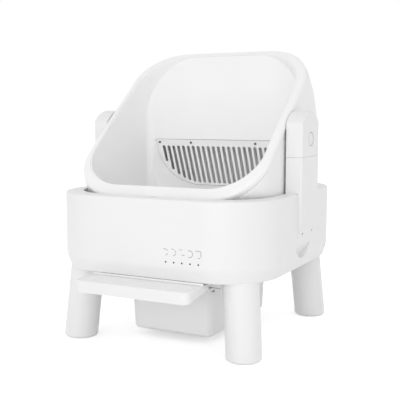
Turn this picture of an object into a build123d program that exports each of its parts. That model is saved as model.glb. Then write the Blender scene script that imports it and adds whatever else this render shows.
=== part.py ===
from build123d import *
from math import acos, atan2, cos, degrees, pi, radians, sin, sqrt, tan
import os

# Open-top self-cleaning litter box on four splayed legs: a tub, two side towers that carry a
# tilting drum, a step in front and a waste bin that slides out below. Millimetres, +Z up, the
# front faces -Y. The model is drawn about the tub's centre, and moved on saving so that its
# origin is on the floor under the middle of the whole object.

# ---------------------------------------------------------------- driving dimensions
TUB_WIDTH = 540.0
TUB_DEPTH = 555.0
TUB_CORNER = 135.0
TUB_BOTTOM = 170.0
TUB_TOP = 344.0
TUB_WALL = 3.5
TUCK = 10.0  # the tub's lower edge is drawn in by this much
TUCK_HEIGHT = 28.0
RIM_THICK = 5.0
OPENING_HALF_WIDTH = 240.0  # the opening in the tub's top, which the drum swings through
OPENING_FRONT = -242.0
OPENING_BACK = 252.0
OPENING_CORNER = 125.0

LEG_RADIUS = 39.0
LEG_BORE = 30.0
LEG_X = 211.5  # leg centres at the floor
LEG_Y = 216.4
LEG_SPLAY = 6.5
LEG_SIGNS = {"front_left": (-1, -1), "front_right": (1, -1), "rear_left": (-1, 1), "rear_right": (1, 1)}
BOLT_SEAT = 180.0

STEP_REACH = 61.5  # how far the step stands out in front of the tub
STEP_WIDTH = 280.0
STEP_TOP = 164.0
STEP_FRONT_THICK = 26.0
STEP_REAR_THICK = 10.0
STEP_LENGTH = 103.0
STEP_CORNER = 14.0
STEP_SCREW_X = (109.0, 127.0)

AXIS_Y = 5.0  # the drum turns about X through this point
AXIS_Z = 466.0
DRUM_RADIUS = 244.5
DRUM_HALF_WIDTH = 234.5
DRUM_EDGE = 80.0
DRUM_SKIN = 3.5
BOWL_RADIUS = 236.0
BOWL_HALF_WIDTH = 221.0
BOWL_WALL = 3.0
BOWL_EDGE = 70.0  # the round between the bowl's floor and its side walls
MOUTH_TILT = 41.1  # the mouth rises this steeply from front to back
MOUTH_HEIGHT = 62.0  # from the axis to the mouth's plane
MOUTH_FRONT = -227.4  # ends of the mouth along its plane, from the foot of the axis
MOUTH_BACK = 241.0
MOUTH_FRONT_CORNER = 108.0
MOUTH_BACK_CORNER = 136.0
MOUTH_CURVE = (  # the mouth's waved surface: place along the slope, height over the axis
    (-300, 49.5),
    (-262, 56.5),
    (-228, 62),
    (-111, 70),
    (6, 68),
    (124, 63),
    (241, 62),
    (265, 58.5),
    (300, 53),
)
LIP_FRONT = -262.0  # the lip's outline, in the mouth's plane
LIP_BACK = 264.0
LIP_HALF_WIDTH = 238.0
LIP_FRONT_CORNER = 129.0
LIP_BACK_CORNER = 128.0
LIP_DEPTH = 18.0
LIP_ROUND = 9.0
LIP_CHAMFER = 4.0
COLLAR_FOOT = -8.0  # the flare under the lip runs between these heights over the axis
COLLAR_TOP = 54.0
HOOD_FOOT_Y = 118.0  # the bowl's back wall
HOOD_FOOT_Z = 573.0  # above this the back wall leans back to the lip
BACK_CORNER = 13.0
HEEL_RADIUS = 45.0
HOOD_BEND = 150.0

SIEVE_TOP_Z = 455.0
SIEVE_HALF_WIDTH = 194.5
SIEVE_DROP = 133.0  # down the slope of the sieve
SIEVE_CORNER = 105.0
SIEVE_LEAN = 23.0
SIEVE_THICK = 3.0
SCOOP_HALF_WIDTH = 216.0  # the recess in the back wall that leads to the sieve
SCOOP_DROP = 163.0
SCOOP_CORNER = 90.0
SLOT_PITCH = 14.75
SLOT_WIDTH = 9.0
SLOT_COUNT = 25
SLOT_TOP = 17.5  # from the top of the sieve to its slots
SLOT_BORDER = 5.5  # from the slots to the sieve's lower edge
SIEVE_BEAD = 3.5
SIEVE_LEDGE = 2.5
SIEVE_SCREW_DROP = 8.0
SIEVE_SCREW_X = (-186.0, -92.0, 92.0, 186.0)

TOWER_IN = 240.0
TOWER_OUT = 279.0
TOWER_FRONT = -53.0
TOWER_DEPTH = 115.0
TOWER_TOP = 531.0
TOWER_SEAM = 426.0
TOWER_ARCH = 72.0
TOWER_WALL = 3.0
APRON_BOTTOM = 236.0
APRON_FADE = 44.0  # the apron's outer face slopes in over this height
APRON_SCREW_Y = (-28.0, 38.0)
APRON_SCREW_Z = 251.0
BUTTON_RADIUS = 15.0
BUTTON_TRAVEL = 3.5

SHAFT_RADIUS = 14.0
BUSH_RADIUS = 19.0
GEAR_TEETH = 36
PINION_TEETH = 12
GEAR_MODULE = 2.0
GEAR_WIDTH = 7.0
MESH_SLACK = 0.3

BIN_HALF_WIDTH = 108.0
BIN_FRONT = -160.0
BIN_BACK = 165.0
BIN_BOTTOM = 16.0
BIN_TOP = 133.5
RAIL_IN = 112.0
RAIL_OUT = 140.0
RAIL_FRONT = -175.0
RAIL_BACK = 182.0
RAIL_BOTTOM = 126.0
FLANGE_HALF = 120.0  # half the width across the bin's flange

CHUTE_X = 88.0
CHUTE_FRONT = -128.0
CHUTE_BACK = 123.0
CHUTE_BOTTOM = 137.0
FUNNEL_FLOOR = 184.0
FUNNEL_WALL = 2.5
FUNNEL_TUCK = 4.0  # the funnel's top edge lies this far under the tub's top

KEY_X = (55.0, 74.5, 94.0, 113.5, 133.0)
LIGHT_Z = 210.3
LIGHT_RADIUS = 1.3
INLET_X = -110.0  # power inlet in the back wall
INLET_Z = 214.0

SCREW_HOLE = 2.2
SLACK = 0.3  # running clearance
SIDE_EASE = 0.05  # keeps the mouth's corner rounds just outside the flat side walls

# ---------------------------------------------------------------- derived places
TUB_FRONT = -TUB_DEPTH / 2
TUB_SIDE = TUB_WIDTH / 2
ORIGIN_SHIFT = STEP_REACH / 2
PAN_Z = TUB_BOTTOM + 3  # the base pan's underside
TOWER_MID = TOWER_FRONT + TOWER_DEPTH / 2
SIDES = {"left": -1, "right": 1}

STEP_REAR = TUB_FRONT - STEP_REACH + STEP_LENGTH
STEP_SCREW_Y = STEP_REAR + 14
APRON_SCREW_X = TUB_SIDE + (APRON_SCREW_Z - APRON_BOTTOM) / APRON_FADE * (TOWER_OUT - TUB_SIDE)
RAIL_SCREW_X = 127.0
RAIL_SCREW_Y = (-150.0, 0.0, 140.0)

# The mouth's plane: x across, y up its slope, z out of the bowl.
MOUTH = Plane(
    origin=(0, AXIS_Y, AXIS_Z),
    x_dir=(1, 0, 0),
    z_dir=(0, -sin(radians(MOUTH_TILT)), cos(radians(MOUTH_TILT))),
)
AXLE = Location((0, AXIS_Y, AXIS_Z), (0, 90, 0))
TRUNNION_SCREWS = [(AXIS_Y + y, AXIS_Z + z) for y in (-21.5, 21.5) for z in (-21.5, 21.5)]
PAN_SCREWS = [(x, y) for x in (-90.0, 90.0) for y in (-260.5, 260.5)]
PAN_SCREWS += [(x, y) for x in (-253.0, 253.0) for y in (-90.0, 90.0)]


# ---------------------------------------------------------------- helpers
def save(name, shape):
    """Write one node, with the origin under the middle of the whole object."""
    export_step(Pos(0, ORIGIN_SHIFT, 0) * shape, f"parts/{name}.step")


def group(shapes):
    """Several separate solids that share one node."""
    return Compound([solid for shape in shapes for solid in shape.solids()])


def block(x0, x1, y0, y1, z0, z1):
    """An upright box between two corners."""
    middle = Pos((x0 + x1) / 2, (y0 + y1) / 2, (z0 + z1) / 2)
    return middle * Box(abs(x1 - x0), abs(y1 - y0), abs(z1 - z0))


def slab(width, depth, corner, z0, z1):
    """A round-cornered plate about the Z axis."""
    return extrude(Pos(0, 0, z0) * RectangleRounded(width, depth, corner), z1 - z0)


def drum_disc(radius, x0, x1):
    """A disc on the drum's axis, from x0 to x1."""
    return Pos((x0 + x1) / 2, 0, 0) * AXLE * Cylinder(radius, abs(x1 - x0))


def side_rod(x0, x1, y, z, radius):
    """A round bar along X."""
    return Location(((x0 + x1) / 2, y, z), (0, 90, 0)) * Cylinder(radius, abs(x1 - x0))


def front_rod(x, y0, y1, z, radius):
    """A round bar along Y."""
    return Location((x, (y0 + y1) / 2, z), (90, 0, 0)) * Cylinder(radius, abs(y1 - y0))


def upright_rod(x, y, z0, z1, radius):
    """A round bar along Z."""
    return Pos(x, y, (z0 + z1) / 2) * Cylinder(radius, abs(z1 - z0))


def side_profile(points, x0, x1):
    """A closed outline in the YZ plane, drawn from x0 to x1."""
    face = Plane.YZ * make_face(Polyline(*points, close=True))
    return extrude(Pos(min(x0, x1), 0, 0) * face, abs(x1 - x0))


def pan_screw(x, y, z, length, head=4.0, shank=2.0):
    """A screw driven upwards, with its pan head below z."""
    screw = upright_rod(x, y, z - 2.2, z, head) + upright_rod(x, y, z, z + length, shank)
    return screw - Pos(x, y, z - 2.2) * Box(4.8, 1.0, 2.0)


# ---------------------------------------------------------------- tub, funnel and pan
def tub_outline(inset):
    return RectangleRounded(TUB_WIDTH - 2 * inset, TUB_DEPTH - 2 * inset, TUB_CORNER - inset)


def top_opening(grow):
    """Outline of the opening in the tub's top."""
    width = 2 * (OPENING_HALF_WIDTH + grow)
    depth = OPENING_BACK - OPENING_FRONT + 2 * grow
    return Pos(0, (OPENING_FRONT + OPENING_BACK) / 2) * RectangleRounded(width, depth, OPENING_CORNER + grow)


def tub_body(inset):
    """The tub's outer form, drawn in by inset, with its tucked lower edge."""
    knee = TUB_BOTTOM + TUCK_HEIGHT
    foot = loft([Pos(0, 0, TUB_BOTTOM) * tub_outline(inset + TUCK), Pos(0, 0, knee) * tub_outline(inset)])
    return foot + extrude(Pos(0, 0, knee) * tub_outline(inset), TUB_TOP - knee)


def finger_recess(side, grow):
    """The half-moon grip in one side of the tub; grow makes the wall behind it."""
    half, drop, depth = 50.0, 33.0, 13.0
    middle_y, top_z = -17.0, 226.0
    radius = (half**2 + drop**2) / (2 * drop)
    moon = Pos(middle_y, top_z - drop + radius) * Circle(radius + grow)
    moon &= Pos(middle_y, top_z - drop / 2) * Rectangle(2 * half + 20, drop + 2 * grow)
    prism = extrude(Plane.YZ * moon, 30, both=True)
    z0, z1 = top_z - drop - grow, top_z + grow
    wedge = Plane.XZ * make_face(
        Polyline(
            (TUB_SIDE + 1, z1),
            (TUB_SIDE - grow, z1),
            (TUB_SIDE - depth - grow, z0 + 6),
            (TUB_SIDE - depth - grow, z0),
            (TUB_SIDE + 1, z0),
            close=True,
        )
    )
    cut = Pos(TUB_SIDE, 0, 0) * prism & extrude(wedge, 120, both=True)
    return cut if side > 0 else mirror(cut, about=Plane.YZ)


def make_tub():
    outer = tub_body(0)
    knee_edges = outer.edges().filter_by(lambda edge: abs(edge.center().Z - TUB_BOTTOM - TUCK_HEIGHT) < 0.1)
    outer = fillet(knee_edges, 30)
    top_edges = outer.edges().group_by(Axis.Z)[-1]
    outer = fillet(top_edges, 4)
    cavity = tub_body(TUB_WALL) & slab(TUB_WIDTH, TUB_DEPTH, TUB_CORNER, TUB_BOTTOM + 3, TUB_TOP - RIM_THICK)
    mouth = extrude(Pos(0, 0, TUB_TOP - RIM_THICK) * top_opening(0), RIM_THICK)
    floor = extrude(Pos(0, 0, TUB_BOTTOM) * tub_outline(TUCK + 14), 3)
    tub = outer - cavity - mouth - floor
    for side in SIDES.values():
        backing = finger_recess(side, 3.0) & tub_body(1)
        tub = tub + backing - finger_recess(side, 0)
        for y in APRON_SCREW_Y:
            tub -= side_rod(side * (TUB_SIDE - 20), side * (TUB_SIDE + 5), y, APRON_SCREW_Z, 1.6)
    for x in KEY_X:
        tub -= front_rod(x, TUB_FRONT - 1, TUB_FRONT + 6, LIGHT_Z, LIGHT_RADIUS + 0.1)
    for x in (36.0, 152.0):
        for z in (203.0, 247.0):
            tub += front_rod(x, TUB_FRONT + 2, TUB_FRONT + 9.5, z, 3.5)
    for x, y in PAN_SCREWS:
        tub -= upright_rod(x, y, TUB_BOTTOM - 1, PAN_Z + 1, SCREW_HOLE)
    inlet_hole = front_rod(INLET_X, TUB_DEPTH / 2 - 8, TUB_DEPTH / 2 + 1, INLET_Z, 7.1)
    return tub - inlet_hole


def chute(grow, z0, z1):
    """The upright throat over the bin."""
    width = 2 * (CHUTE_X + grow)
    depth = CHUTE_BACK - CHUTE_FRONT + 2 * grow
    return Pos(0, (CHUTE_FRONT + CHUTE_BACK) / 2, 0) * slab(width, depth, 14 + grow, z0, z1)


def funnel_form(inset):
    low = Pos(0, 0, FUNNEL_FLOOR + inset) * RectangleRounded(476 - 2 * inset, 430 - 2 * inset, 130 - inset)
    high = Pos(0, 0, TUB_TOP - RIM_THICK) * top_opening(FUNNEL_TUCK - inset)
    return loft([low, high])


def make_funnel():
    """The inner liner: slopes from under the tub's rim to the chute over the bin."""
    outer = funnel_form(0) + chute(FUNNEL_WALL, CHUTE_BOTTOM, FUNNEL_FLOOR + 1)
    return outer - funnel_form(FUNNEL_WALL) - chute(0, CHUTE_BOTTOM, FUNNEL_FLOOR + 10)


def leg_frame(x_sign, y_sign):
    """A place on the leg's sloping axis, at floor height."""
    lean = Location((x_sign * LEG_X, y_sign * LEG_Y, 0))
    heading = degrees(atan2(y_sign, x_sign))
    return lean * Rot(0, 0, heading) * Rot(0, -LEG_SPLAY, 0)


def make_pan():
    """The base pan on the tub's lower flange, with a socket over each leg and ribs between."""
    z0, z1 = PAN_Z, PAN_Z + 3
    pan = extrude(Pos(0, 0, z0) * tub_outline(TUCK + TUB_WALL + 0.5), z1 - z0)
    inside_flange = extrude(Pos(0, 0, TUB_BOTTOM) * tub_outline(TUCK + 14 + SLACK), 30)
    for signs in LEG_SIGNS.values():
        boss = leg_frame(*signs) * Pos(0, 0, 185) * Cylinder(18, 40)
        pan += boss & block(-300, 300, -300, 300, z0, BOLT_SEAT)
        seat = leg_frame(*signs) * Pos(0, 0, 170) * Cylinder(LEG_RADIUS - 2, 30)
        pan += seat & block(-300, 300, -300, 300, TUB_BOTTOM, z0) & inside_flange
        pan -= leg_frame(*signs) * Pos(0, 0, 175) * Cylinder(4.3, 60)
    for y in (-150.0, 140.0):
        pan += block(-160, 160, y - 1.5, y + 1.5, z1, FUNNEL_FLOOR - 1)
    for x in (-120.0, 120.0):
        pan += block(x - 1.5, x + 1.5, -190, 190, z1, FUNNEL_FLOOR - 1)
    for x, y in PAN_SCREWS:
        pan -= upright_rod(x, y, z0 - 1, z1 + 1, SCREW_HOLE)
    for side in SIDES.values():
        for x in STEP_SCREW_X:
            pan -= upright_rod(side * x, STEP_SCREW_Y, z0 - 1, z1 + 1, SCREW_HOLE)
        for y in RAIL_SCREW_Y:
            pan -= upright_rod(side * RAIL_SCREW_X, y, z0 - 1, z1 + 1, SCREW_HOLE)
    return pan - chute(FUNNEL_WALL + 0.5, z0 - 1, z1 + 20)


def make_pan_screws():
    """Eight screws through the tub's lower flange into the pan."""
    return group([pan_screw(x, y, TUB_BOTTOM, 5.5) for x, y in PAN_SCREWS])


# ---------------------------------------------------------------- legs
def make_leg(x_sign, y_sign):
    frame = leg_frame(x_sign, y_sign)
    leg = frame * Pos(0, 0, 90) * Cylinder(LEG_RADIUS, 220)
    leg &= block(-300, 300, -300, 300, 1, TUB_BOTTOM)
    leg = fillet(leg.edges().group_by(Axis.Z)[0], 6)
    leg -= frame * Pos(0, 0, 72) * Cylinder(LEG_BORE, 176)
    return leg - frame * Pos(0, 0, 160) * Cylinder(4.3, 60)


def make_foot_plug(x_sign, y_sign):
    plug = leg_frame(x_sign, y_sign) * Pos(0, 0, 6) * Cylinder(LEG_BORE - 0.1, 20)
    return plug & block(-300, 300, -300, 300, 0, 9)


def make_leg_bolt(x_sign, y_sign):
    """A hexagon bolt through the pan's socket into the leg's closed top."""
    head_z = BOLT_SEAT / cos(radians(LEG_SPLAY)) + 1.2
    bolt = Pos(0, 0, head_z - 25) * Cylinder(4, 50)
    bolt += extrude(Pos(0, 0, head_z) * RegularPolygon(7, 6), 5)
    return leg_frame(x_sign, y_sign) * bolt


# ---------------------------------------------------------------- step
def step_plan(inset):
    middle = TUB_FRONT - STEP_REACH + STEP_LENGTH / 2
    corner = STEP_CORNER - inset
    return Pos(0, middle, 0) * RectangleRounded(STEP_WIDTH - 2 * inset, STEP_LENGTH - 2 * inset, corner)


def step_profile(drop, lift, x_half):
    """The step's tapering side view: drop lowers its top, lift raises its underside."""
    front = TUB_FRONT - STEP_REACH
    points = [
        (front, STEP_TOP - STEP_FRONT_THICK + lift),
        (front, STEP_TOP - drop),
        (front + STEP_LENGTH, STEP_TOP - drop),
        (front + STEP_LENGTH, STEP_TOP - STEP_REAR_THICK + lift),
    ]
    return side_profile(points, -x_half, x_half)


def make_step_frame():
    """The step's skirt with its two arms, which screw up into the base pan."""
    half = STEP_WIDTH / 2
    frame = step_profile(0, 0, half) & extrude(Pos(0, 0, 100) * step_plan(0), 100)
    frame = fillet(frame.edges().group_by(Axis.Z)[-1], 3)
    frame -= extrude(Pos(0, 0, STEP_TOP - 3) * step_plan(7), 10)
    frame -= step_profile(6, -20, half) & extrude(Pos(0, 0, 100) * step_plan(3.5), 100)
    front = TUB_FRONT - STEP_REACH
    for x in (-90.0, -45.0, 0.0, 45.0, 90.0):
        rib = block(x - 1.2, x + 1.2, front + 3, front + STEP_LENGTH - 3, 100, STEP_TOP - 5)
        frame += rib & step_profile(0, 3, half)
    for side in SIDES.values():
        arm_z = STEP_TOP - STEP_REAR_THICK
        frame += block(side * 100, side * 136, STEP_REAR - 3, STEP_REAR + 24, arm_z, PAN_Z)
        for x in STEP_SCREW_X:
            frame -= upright_rod(side * x, STEP_SCREW_Y, 140, 180, SCREW_HOLE)
    return frame


def make_step_screws():
    places = [side * x for side in SIDES.values() for x in STEP_SCREW_X]
    arm_z = STEP_TOP - STEP_REAR_THICK
    return group([pan_screw(x, STEP_SCREW_Y, arm_z, PAN_Z + 2.5 - arm_z) for x in places])


def make_step_tread():
    """The tread plate, with its rows of grip ribs."""
    tread = extrude(Pos(0, 0, STEP_TOP - 3) * step_plan(7.2), 2.6)
    front = TUB_FRONT - STEP_REACH
    for row in range(9):
        y = front + 18 + row * 8.0
        tread += Pos(0, y, STEP_TOP - 0.4) * Box(STEP_WIDTH - 44, 2.4, 1.2)
    return tread


# ---------------------------------------------------------------- drum
def mouth_outline(front, back, half_width, front_corner, back_corner):
    outline = Pos(0, (front + back) / 2) * Rectangle(2 * half_width, back - front)
    outline = fillet(outline.vertices().group_by(Axis.Y)[0], front_corner)
    return fillet(outline.vertices().group_by(Axis.Y)[-1], back_corner)


def mouth_prism(grow):
    """The bowl's mouth carried along its own axis."""
    outline = mouth_outline(
        MOUTH_FRONT - grow,
        MOUTH_BACK + grow,
        BOWL_HALF_WIDTH + grow + SIDE_EASE,
        MOUTH_FRONT_CORNER + grow,
        MOUTH_BACK_CORNER + grow,
    )
    return MOUTH * extrude(outline, 420, both=True)


def below_mouth(depth):
    """Everything lower than the mouth's gently waved surface, less depth."""
    points = [(along, height - depth) for along, height in MOUTH_CURVE]
    start, end = points[0], points[-1]
    outline = [Spline(*points), Polyline(end, (end[0], -400), (start[0], -400), start)]
    side = Plane(origin=MOUTH.origin, x_dir=MOUTH.y_dir, z_dir=(1, 0, 0)) * make_face(outline)
    return extrude(Pos(-300, 0, 0) * side, 600)


def bowl_profile(grow):
    """Side view of the bowl: round floor, upright back wall, hood leaning back to the lip."""
    radius = BOWL_RADIUS + grow
    wall_y = HOOD_FOOT_Y + grow
    dy = wall_y - AXIS_Y
    floor_z = AXIS_Z - sqrt(radius**2 - dy**2)
    tilt = radians(MOUTH_TILT)
    lip_y = AXIS_Y + MOUTH_BACK * cos(tilt) - MOUTH_HEIGHT * sin(tilt) + grow
    lip_z = AXIS_Z + MOUTH_BACK * sin(tilt) + MOUTH_HEIGHT * cos(tilt)
    lean = (lip_y - wall_y) / (lip_z - HOOD_FOOT_Z)
    over_z = lip_z + 60
    over_y = lip_y + 60 * lean
    front_y = AXIS_Y - radius
    floor = ThreePointArc((front_y, AXIS_Z), (AXIS_Y, AXIS_Z - radius), (wall_y, floor_z))
    walls = Polyline(
        (wall_y, floor_z),
        (wall_y, HOOD_FOOT_Z),
        (over_y, over_z),
        (front_y, over_z),
        (front_y, AXIS_Z),
    )
    face = make_face([floor, walls])
    heel = face.vertices().sort_by_distance((wall_y, floor_z))[0]
    face = fillet(heel, HEEL_RADIUS + grow)
    bend = face.vertices().sort_by_distance((wall_y, HOOD_FOOT_Z))[0]
    return fillet(bend, HOOD_BEND - grow)


def hanging_plate(half_width, drop, corner):
    """A plate hanging below the X axis, with rounded lower corners."""
    outline = Pos(0, -drop / 2) * Rectangle(2 * half_width, drop)
    return fillet(outline.vertices().group_by(Axis.Y)[0], corner)


SIEVE = Plane(
    origin=(0, HOOD_FOOT_Y, SIEVE_TOP_Z),
    x_dir=(1, 0, 0),
    z_dir=(0, -cos(radians(SIEVE_LEAN)), -sin(radians(SIEVE_LEAN))),
)


def scoop(grow, depth):
    """The recess that leads to the sieve, from the back wall to depth behind the sieve's face."""
    wide = hanging_plate(SCOOP_HALF_WIDTH + grow, SCOOP_DROP + grow, SCOOP_CORNER + grow)
    narrow = hanging_plate(SIEVE_HALF_WIDTH + grow, SIEVE_DROP + grow, SIEVE_CORNER + grow)
    wall = Plane(origin=(0, HOOD_FOOT_Y, SIEVE_TOP_Z + grow), x_dir=(1, 0, 0), z_dir=(0, -1, 0))
    near = Pos(0, -10, 0) * (wall * wide)
    far = (SIEVE * Pos(0, grow, -depth)) * narrow
    return loft([near, far])


def bowl_form(grow):
    """The bowl's round floor and side walls, its upright back wall and its mouth."""
    half_width = BOWL_HALF_WIDTH + grow
    body = extrude(Plane.YZ * bowl_profile(grow), half_width, both=True)
    sides = body.edges().filter_by(lambda edge: abs(abs(edge.center().X) - half_width) < 0.1)
    open_z = AXIS_Z + BOWL_RADIUS
    rounded = sides.filter_by(lambda edge: edge.center().Y > -150 and edge.center().Z < open_z)
    body = fillet(rounded, BACK_CORNER + grow)
    basin_half = half_width + 0.5
    basin = drum_disc(BOWL_RADIUS + grow, -basin_half, basin_half)
    basin = fillet(basin.edges().filter_by(GeomType.CIRCLE), BOWL_EDGE + grow)
    basin += block(-basin_half, basin_half, -300, 300, AXIS_Z + 54, AXIS_Z + 300)
    return body & basin & mouth_prism(grow)


def barrel(grow):
    """The drum's outer barrel, with its generous rounded edges."""
    body = drum_disc(DRUM_RADIUS + grow, -DRUM_HALF_WIDTH - grow, DRUM_HALF_WIDTH + grow)
    return fillet(body.edges().filter_by(GeomType.CIRCLE), DRUM_EDGE + grow)


def slot_length(x):
    """How long a sieve slot at x can be before it meets the sieve's lower border."""
    turn = SIEVE_HALF_WIDTH - SIEVE_CORNER
    beyond = max(0.0, abs(x) + SLOT_WIDTH / 2 - turn)
    radius = SIEVE_CORNER - SLOT_BORDER
    return SIEVE_DROP - SIEVE_CORNER + sqrt(radius**2 - beyond**2) - SLOT_TOP


def make_sieve():
    """The sieve: upright slots that follow its rounded lower edge, and a bead along that edge."""
    face = hanging_plate(SIEVE_HALF_WIDTH - 0.2, SIEVE_DROP - 0.8, SIEVE_CORNER - 0.2)
    slots = []
    for number in range(SLOT_COUNT):
        x = (number - (SLOT_COUNT - 1) / 2) * SLOT_PITCH
        length = slot_length(x)
        slots.append(Pos(x, -SLOT_TOP - length / 2) * SlotOverall(length, SLOT_WIDTH, rotation=90))
    panel = extrude(face - slots, SIEVE_THICK)
    inside = hanging_plate(SIEVE_HALF_WIDTH - SIEVE_BEAD, SIEVE_DROP - SIEVE_BEAD, SIEVE_CORNER - SIEVE_BEAD)
    panel += extrude(face - inside, SIEVE_THICK + 1.2)
    for x in SIEVE_SCREW_X:
        panel -= Pos(x, -SIEVE_SCREW_DROP, 0) * Cylinder(1.9, 30)
    return SIEVE * Pos(0, 0, -SIEVE_THICK) * panel


def sieve_ledge():
    """The rim of the bowl that the sieve is screwed against."""
    ring = hanging_plate(SIEVE_HALF_WIDTH + 1, SIEVE_DROP + 1, SIEVE_CORNER + 1)
    inside = hanging_plate(SIEVE_HALF_WIDTH - 5, SIEVE_DROP - SLOT_TOP - 1, SIEVE_CORNER - 5)
    ring -= Pos(0, 3 - SLOT_TOP) * inside
    for x in SIEVE_SCREW_X:
        ring -= Pos(x, -SIEVE_SCREW_DROP) * Circle(1.7)
    return SIEVE * Pos(0, 0, -SIEVE_THICK) * extrude(ring, -SIEVE_LEDGE)


def make_sieve_screws():
    screws = []
    for x in SIEVE_SCREW_X:
        screw = Pos(0, 0, 0.7) * Cylinder(3.0, 1.4) + Pos(0, 0, -3.2) * Cylinder(1.6, 6.5)
        screws.append(SIEVE * Pos(x, -SIEVE_SCREW_DROP, 0) * screw)
    return group(screws)


def collar(grow):
    """The flare below the lip, from the lip's outline down into the barrel."""
    inset = 2 - grow
    top = mouth_outline(
        LIP_FRONT + inset,
        LIP_BACK - inset,
        LIP_HALF_WIDTH - inset,
        LIP_FRONT_CORNER - inset,
        LIP_BACK_CORNER - inset,
    )
    foot = mouth_outline(-240 - grow, 240 + grow, 230 + grow, 84, 84)
    return MOUTH * loft([Pos(0, 0, COLLAR_FOOT) * foot, Pos(0, 0, COLLAR_TOP) * top])


def drum_form(grow):
    """The drum's outside below its lip."""
    return barrel(grow) + collar(grow)


def lip_form():
    """The broad flange round the mouth, with a rounded outer edge."""
    outline = mouth_outline(LIP_FRONT, LIP_BACK, LIP_HALF_WIDTH, LIP_FRONT_CORNER, LIP_BACK_CORNER)
    lip = MOUTH * extrude(outline, 100)
    lip = (lip & below_mouth(0)) - below_mouth(LIP_DEPTH)
    outward = Axis(MOUTH.origin, MOUTH.z_dir)
    lip = fillet(lip.faces().sort_by(outward)[-1].edges(), LIP_ROUND)
    return chamfer(lip.faces().sort_by(outward)[0].edges(), LIP_CHAMFER)


def make_drum():
    """All that is moulded of the drum: outer shell, inner bowl and lip."""
    bowl_out = bowl_form(BOWL_WALL)
    bowl_in = bowl_form(0)
    back = SIEVE_THICK + SIEVE_LEDGE
    bowl = bowl_out + scoop(BOWL_WALL, back)
    bowl = bowl - bowl_in - scoop(0, back + 2)
    bowl += sieve_ledge()
    bowl &= below_mouth(1.0)

    fit = bowl_form(BOWL_WALL + 0.2)
    shell = drum_form(0) & below_mouth(LIP_DEPTH)
    shell -= drum_form(-DRUM_SKIN) & below_mouth(LIP_DEPTH + DRUM_SKIN)
    shell -= fit
    for side in SIDES.values():
        shell -= drum_disc(SHAFT_RADIUS + SLACK, side * 225, side * 245)
        for y, z in TRUNNION_SCREWS:
            shell -= side_rod(side * 225, side * 245, y, z, 1.8)
            shell -= side_rod(side * (DRUM_HALF_WIDTH - 1.9), side * 245, y, z, 3.4)
    return shell, bowl, lip_form() - fit


def make_trunnion(side):
    """A flange held between shell and bowl, and the shaft that turns in the tower's bush."""
    inner = BOWL_HALF_WIDTH + BOWL_WALL
    outer = DRUM_HALF_WIDTH - DRUM_SKIN
    flange = drum_disc(40, side * inner, side * outer)
    for y, z in TRUNNION_SCREWS:
        flange -= side_rod(side * (inner - 1), side * (outer + 1), y, z, 1.8)
    shaft = drum_disc(SHAFT_RADIUS, side * outer, side * (TOWER_IN + 8))
    key = drum_disc(9, side * (TOWER_IN + 8), side * (TOWER_IN + 16))
    return flange + shaft + key


def make_trunnion_screws():
    screws = []
    for side in SIDES.values():
        for y, z in TRUNNION_SCREWS:
            head = side_rod(side * (DRUM_HALF_WIDTH - 1.9), side * (DRUM_HALF_WIDTH - 0.1), y, z, 3.2)
            shank_end = side * (BOWL_HALF_WIDTH + BOWL_WALL + 0.2)
            shank = side_rod(shank_end, side * (DRUM_HALF_WIDTH - 1.5), y, z, 1.6)
            screws.append(head + shank)
    return group(screws)


# ---------------------------------------------------------------- gears
def involute(base, radius):
    """Angle swept by an involute of the base circle at a radius."""
    roll = acos(min(1.0, base / radius))
    return tan(roll) - roll


def spur_gear(teeth, width, bore, phase):
    """A spur gear about Z with involute flanks and a running clearance."""
    pitch = GEAR_MODULE * teeth / 2
    root = pitch - 1.25 * GEAR_MODULE
    tip = pitch + 0.95 * GEAR_MODULE
    base = pitch * cos(radians(20))
    half_tooth = pi / (2 * teeth) * 0.9 + involute(base, pitch)
    radii = [max(base, root) + step * (tip - max(base, root)) / 3 for step in range(4)]
    points = []
    for number in range(teeth):
        middle = phase + 2 * pi * number / teeth
        left = [(radius, middle - half_tooth + involute(base, radius)) for radius in radii]
        right = [(radius, 2 * middle - angle) for radius, angle in reversed(left)]
        flank = [(root, left[0][1])] + left + right + [(root, right[-1][1])]
        if root >= base:
            flank = left + right
        points += [(radius * cos(angle), radius * sin(angle)) for radius, angle in flank]
    outline = make_face(Polyline(*points, close=True)) - Circle(bore)
    return extrude(outline, width)


# ---------------------------------------------------------------- towers
def tower_face(inset):
    """Side view of a tower, arched at the top."""
    low, high = 200.0, TOWER_TOP - inset
    arch_z = TOWER_TOP - TOWER_ARCH
    column = Pos(TOWER_MID, (low + high) / 2) * Rectangle(TOWER_DEPTH - 2 * inset, high - low)
    head = Pos(TOWER_MID, arch_z) * Circle(TOWER_ARCH - inset)
    stem = Pos(TOWER_MID, (low + arch_z) / 2) * Rectangle(TOWER_DEPTH, arch_z - low)
    return Plane.YZ * (column & (head + stem))


def tower_form(inset):
    """The tower above the tub's rim."""
    x0 = TOWER_IN + inset
    x1 = TOWER_OUT - inset
    body = extrude(Pos(x0, 0, 0) * tower_face(inset), x1 - x0)
    if inset == 0:
        outer_edges = body.edges().filter_by(lambda edge: edge.center().X > TOWER_OUT - 0.1)
        body = fillet(outer_edges.filter_by(lambda edge: edge.center().Z > 210), 5)
    return body


def tower_band(z0, z1):
    return block(TOWER_IN - 10, TOWER_OUT + 10, TOWER_FRONT - 10, TOWER_FRONT + TOWER_DEPTH + 10, z0, z1)


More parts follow.
